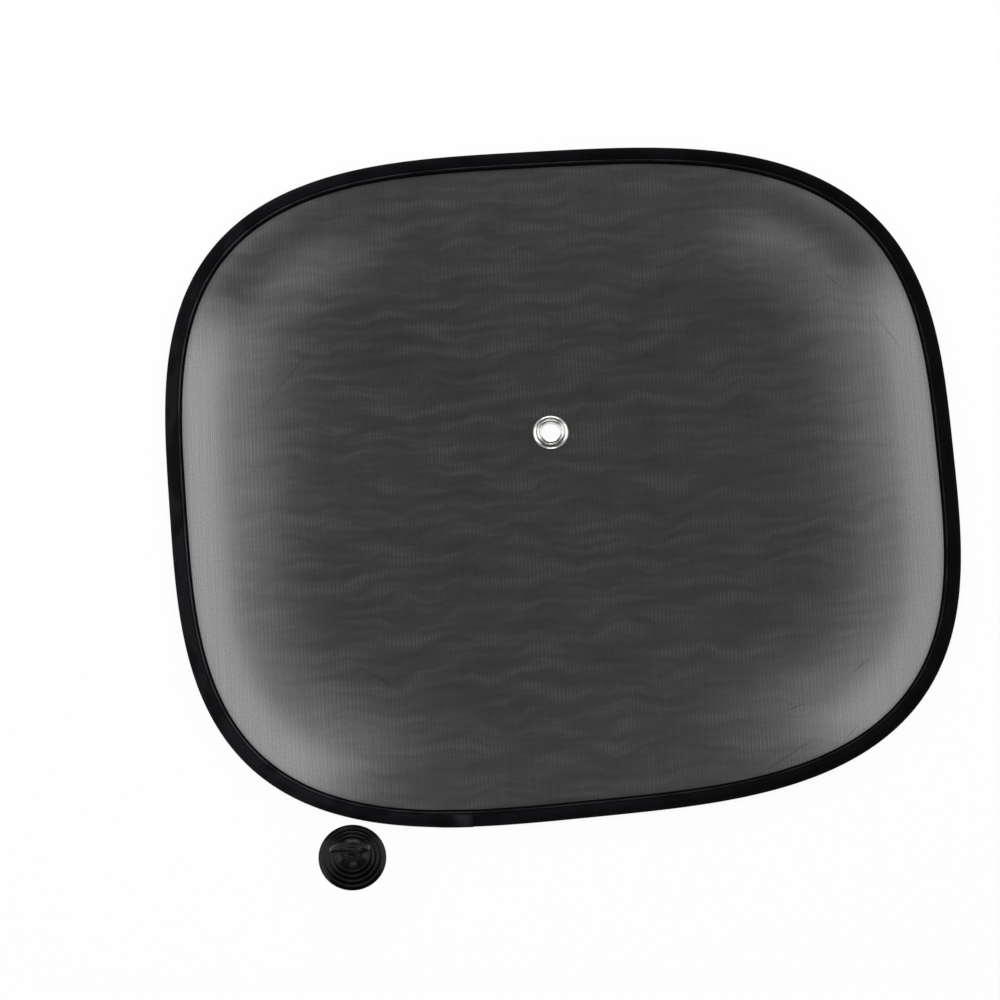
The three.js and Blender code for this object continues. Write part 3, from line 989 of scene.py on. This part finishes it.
def cup_profile(cup):
    """Section of the cup as (radius, height) from the hollow, over the lip, to the socket."""
    lip_height = 0.9 * MM
    cavity_radius = cup.radius - 1.2 * MM
    profile = []
    for share in np.linspace(0, 1, 9):
        profile.append((cavity_radius * share, cup.cavity_depth * (1 - share**2)))
    profile += [
        (cup.radius - 0.3 * MM, 0.0),
        (cup.radius, 0.3 * MM),
        (cup.radius, lip_height - 0.2 * MM),
        (cup.radius - 0.3 * MM, lip_height),
    ]
    cone_radius, cone_top = 8.7 * MM, 6.1 * MM
    steps, step_width, fall = 4, 2.5 * MM, 0.3 * MM
    riser = (cone_top - lip_height - 0.2 * MM - steps * fall) / steps
    for k in reversed(range(steps)):
        radius = cone_radius + k * step_width
        foot = cone_top - k * (riser + fall) - riser
        if k < steps - 1:
            profile.append((radius + 2.35 * MM, foot - fall))
        profile.append((radius + 0.5 * MM, foot))
        profile.append((radius, foot + riser - 0.15 * MM))
    cone_height = 9.5 * MM
    neck = cup.neck_radius
    profile += [
        (8.3 * MM, cone_top),
        ((cone_radius + neck) / 2, cone_top + (cone_height - cone_top) * 0.36),
        (neck + 0.7 * MM, cone_height - 0.9 * MM),
        (neck, cone_height),
        (neck, cup.neck_top - 0.4 * MM),
        (neck - 0.4 * MM, cup.neck_top),
        (2.0 * MM, cup.neck_top),
        (2.0 * MM, 8.4 * MM),
        (2.4 * MM, 8.0 * MM),
        (2.4 * MM, 5.8 * MM),
        (0.0, 5.8 * MM),
    ]
    return profile


class SUNSHADE_OT_cup(bpy.types.Operator):
    """Turns the stepped suction cup"""

    bl_idname = "sunshade.cup"
    bl_label = "Suction cup"

    def execute(self, context):
        cup = settings(context, "cup")
        points, faces = lathed(corner_cut(cup_profile(cup), 2, False), 144, False)
        place = (CUP_MIDDLE.x, CUP_MIDDLE.y, 0.0)
        piece = made_piece("cup", shifted(points, place), faces, soft_cup_finish(cup))
        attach(piece, "root")
        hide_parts("suction_cup")
        return {"FINISHED"}


# The clip's middle line as (x, height over the bar, width), in millimetres
CLIP_LOOP = (
    (5.1, -4.0, 1.5),
    (5.3, -1.7, 1.5),
    (6.8, 0.6, 1.6),
    (8.2, 3.1, 2.1),
    (8.5, 6.0, 3.3),
    (7.8, 9.0, 3.4),
    (6.0, 12.0, 3.0),
    (3.4, 13.7, 2.8),
    (0.6, 14.0, 2.7),
    (-2.2, 13.4, 2.6),
    (-5.2, 11.7, 2.5),
    (-8.2, 8.8, 2.4),
    (-10.4, 5.2, 2.3),
    (-11.1, 2.2, 2.3),
    (-10.5, 0.2, 2.4),
    (-8.6, -0.2, 2.3),
    (-4.3, -0.05, 2.2),
    (0.0, 0.3, 2.3),
    (3.6, 0.9, 2.6),
)
CLIP_BARB = ((2.6, 0.3, 1.8), (4.3, 2.0, 3.2), (5.1, 4.1, 2.2), (5.9, 6.4, 0.8))


def smooth_line(points, count):
    """Points on a smooth line through the given ones, with even steps."""
    points = np.asarray(points, float)
    padded = np.vstack([2 * points[0] - points[1], points, 2 * points[-1] - points[-2]])
    steps = np.linspace(0, 1, 24, endpoint=False)[:, None]
    dense = []
    for p0, p1, p2, p3 in zip(padded, padded[1:], padded[2:], padded[3:]):
        bend = 2 * p0 - 5 * p1 + 4 * p2 - p3
        change = 3 * p1 - p0 - 3 * p2 + p3
        dense.append(0.5 * (2 * p1 + (p2 - p0) * steps + bend * steps**2 + change * steps**3))
    dense = np.vstack([*dense, points[-1:]])
    run = np.concatenate([[0], np.cumsum(np.hypot(*np.diff(dense[:, :2], axis=0).T))])
    at = np.linspace(0, run[-1], count)
    return np.column_stack([np.interp(at, run, dense[:, k]) for k in range(3)])


def rounded_bar(line, bar_height, depth, count, sides=20):
    """Points and faces of a bar along a line of (x, height, width) in millimetres."""
    path = smooth_line(line, count)
    tangent = np.gradient(path[:, :2], axis=0)
    tangent /= np.hypot(*tangent.T)[:, None]
    section = [(math.cos(turn), math.sin(turn)) for turn in even_shares(sides) * math.tau]
    squared = [[math.copysign(abs(part) ** 0.85, part) for part in place] for place in section]
    points = []
    for (x, z, width), (tx, tz) in zip(path, tangent):
        for across, out in squared:
            reach = width / 2 * across
            points.append((x + tz * reach, depth * 500 * out, z - tx * reach + bar_height * 1000))
    last = (count - 1) * sides
    caps = [tuple(range(sides - 1, -1, -1)), tuple(range(last, last + sides))]
    return np.array(points) / 1000, grid_faces(count, sides, False) + caps


class SUNSHADE_OT_clip(bpy.types.Operator):
    """Moulds the hook clip as one piece"""

    bl_idname = "sunshade.clip"
    bl_label = "Hook clip"

    def execute(self, context):
        clip, cup = settings(context, "clip"), settings(context, "cup")
        depth = clip.depth * 0.93
        loop = rounded_bar(CLIP_LOOP, clip.bar_height, depth, 150)
        barb = rounded_bar(CLIP_BARB, clip.bar_height, depth, 30)
        collar = cup.neck_top + 0.3 * MM
        head = clip.bar_height
        stem = [
            (0.0, 6.1 * MM),
            (1.7 * MM, 6.1 * MM),
            (2.1 * MM, 6.5 * MM),
            (2.1 * MM, 7.4 * MM),
            (1.7 * MM, 7.9 * MM),
            (1.7 * MM, collar),
            (3.5 * MM, collar),
            (3.5 * MM, head - 0.4 * MM),
            (2.9 * MM, head + 0.2 * MM),
            (0.0, head + 0.2 * MM),
        ]
        points, faces = merged((loop, barb, lathed(stem, 40, False)))
        place = (CUP_MIDDLE.x, CUP_MIDDLE.y, 0.0)
        rough = made_piece("clip_blank", shifted(points, place, clip.turn), faces, None)
        mould = rough.modifiers.new("Mould", "REMESH")
        mould.mode = "VOXEL"
        mould.voxel_size = 0.00019
        polish = rough.modifiers.new("Polish", "SMOOTH")
        polish.factor = 0.5
        polish.iterations = 4
        mesh = baked(rough)
        mesh.materials.clear()
        mesh.materials.append(clip_finish(clip))
        mesh.shade_smooth()
        piece = bpy.data.objects.new("clip", mesh)
        context.scene.collection.objects.link(piece)
        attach(piece, "root")
        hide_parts("hook_clip")
        return {"FINISHED"}


# The stage


def floor_finish(stage):
    """A white floor that shows as white where it is lit, and still takes a shadow."""
    material = bpy.data.materials.new("white_floor")
    material.use_nodes = True
    tree = material.node_tree
    tree.nodes.clear()
    ray = add_node(tree, "ShaderNodeLightPath").outputs
    lit = add_node(tree, "ShaderNodeBsdfDiffuse", Color=(0.9, 0.9, 0.9, 1.0))
    glow = add_node(tree, "ShaderNodeEmission", Strength=1.0)
    seen = Field(tree, ray["Is Camera Ray"]).most(ray["Is Glossy Ray"])
    share = seen.most(ray["Is Transmission Ray"]) * stage.floor_white
    mixed = add_node(tree, "ShaderNodeMixShader", share, lit.outputs[0], glow.outputs[0])
    add_node(tree, "ShaderNodeOutputMaterial", Surface=mixed.outputs[0])
    return material


def soft_light(name, place, size, power):
    """A rectangular lamp that shines at the frame's origin."""
    light = bpy.data.lights.new(name, "AREA")
    light.shape = "RECTANGLE"
    light.size, light.size_y = size
    light.energy = power
    lamp = bpy.data.objects.new(name, light)
    lamp.location = place
    lamp.rotation_euler = Vector(place).to_track_quat("Z", "Y").to_euler()
    bpy.context.scene.collection.objects.link(lamp)


def studio_world():
    """A white background, with more light from low round the sides than from above."""
    white = (1.0, 1.0, 1.0, 1.0)
    world = bpy.data.worlds.new("studio")
    world.use_nodes = True
    tree = world.node_tree
    way = add_node(tree, "ShaderNodeTexCoord").outputs["Generated"]
    height = add_node(tree, "ShaderNodeSeparateXYZ", way).outputs["Z"]
    low, high, bright, dim = 0.2, 0.9, 0.9, 0.05
    glow = add_node(tree, "ShaderNodeMapRange", height, low, high, bright, dim)
    lighting = tree.nodes["Background"]
    feed(tree, lighting.inputs["Color"], white)
    feed(tree, lighting.inputs["Strength"], glow.outputs[0])
    shown = add_node(tree, "ShaderNodeBackground", white)
    ray = add_node(tree, "ShaderNodeLightPath").outputs
    mixed = add_node(tree, "ShaderNodeMixShader", ray["Is Camera Ray"], lighting.outputs[0])
    feed(tree, mixed.inputs[2], shown.outputs[0])
    feed(tree, tree.nodes["World Output"].inputs["Surface"], mixed.outputs[0])
    return world


def aimed_camera(stage):
    """A camera with a long lens, so that the view is almost parallel."""
    off_right, off_ahead = -0.062, -0.0208
    right = Vector((math.cos(stage.azimuth), math.sin(stage.azimuth), 0.0))
    ahead = Vector((-math.sin(stage.azimuth), math.cos(stage.azimuth), 0.0))
    target = SHADE_MIDDLE.copy()
    target += right * (off_right * stage.view_width)
    target += ahead * (off_ahead * stage.view_width / math.sin(stage.elevation))
    towards_eye = Vector((0, 0, 1)) * math.sin(stage.elevation)
    towards_eye -= ahead * math.cos(stage.elevation)
    camera = bpy.data.cameras.new("camera")
    camera.lens = 250.0
    camera.sensor_width = 36.0
    camera.clip_start, camera.clip_end = 0.1, 30.0
    distance = stage.view_width * camera.lens / camera.sensor_width
    eye = bpy.data.objects.new("camera", camera)
    eye.location = target + towards_eye * distance
    eye.rotation_euler = towards_eye.to_track_quat("Z", "Y").to_euler()
    bpy.context.scene.collection.objects.link(eye)
    return eye


# The soft lights as (name, place, size, power)
SOFT_LIGHTS = (
    ("left_softbox", (-1.8, 0.5, 1.9), (2.2, 1.9), 30.0),
    ("right_softbox", (1.8, 0.6, 1.9), (2.2, 1.9), 27.0),
    ("front_softbox", (0.0, -1.9, 1.3), (1.4, 0.4), 5.0),
    ("back_softbox", (0.1, 1.9, 0.9), (1.4, 0.5), 10.0),
)


class SUNSHADE_OT_stage(bpy.types.Operator):
    """Sets the floor, the soft studio light and the camera"""

    bl_idname = "sunshade.stage"
    bl_label = "Stage"

    def execute(self, context):
        stage = settings(context, "stage")
        far = 8.0
        corners = [(-far, -far, 0), (far, -far, 0), (far, far, 0), (-far, far, 0)]
        floor = made_piece("floor", corners, [(0, 1, 2, 3)], floor_finish(stage))
        floor.location.z = -0.0002
        context.scene.world = studio_world()
        for light in SOFT_LIGHTS:
            soft_light(*light)
        context.scene.camera = aimed_camera(stage)
        context.scene.view_settings.view_transform = "Standard"
        return {"FINISHED"}


OPERATORS = (
    SUNSHADE_OT_stage,
    SUNSHADE_OT_wire,
    SUNSHADE_OT_stitching,
    SUNSHADE_OT_binding,
    SUNSHADE_OT_net,
    SUNSHADE_OT_eyelet,
    SUNSHADE_OT_cup,
    SUNSHADE_OT_clip,
)


class SUNSHADE_PT_panel(bpy.types.Panel):
    """Lists the sunshade's pieces with their sizes and colours"""

    bl_idname = "SUNSHADE_PT_panel"
    bl_label = "Window Sunshade"
    bl_space_type = "VIEW_3D"
    bl_region_type = "UI"
    bl_category = "Sunshade"

    def draw(self, context):
        for operator in OPERATORS:
            self.layout.operator(operator.bl_idname)
        for name, group in GROUPS.items():
            box = self.layout.box()
            box.label(text=name.capitalize())
            for key in group.__annotations__:
                box.prop(settings(context, name), key)


CLASSES = (*GROUPS.values(), *OPERATORS, SUNSHADE_PT_panel)


def register():
    for cls in CLASSES:
        bpy.utils.register_class(cls)
    for name, group in GROUPS.items():
        setattr(bpy.types.Scene, "sunshade_" + name, bpy.props.PointerProperty(type=group))


def unregister():
    for name in GROUPS:
        delattr(bpy.types.Scene, "sunshade_" + name)
    for cls in reversed(CLASSES):
        bpy.utils.unregister_class(cls)


def main():
    register()
    for operator in OPERATORS:
        getattr(bpy.ops.sunshade, operator.bl_idname.split(".")[1])()


if __name__ == "__main__":
    main()
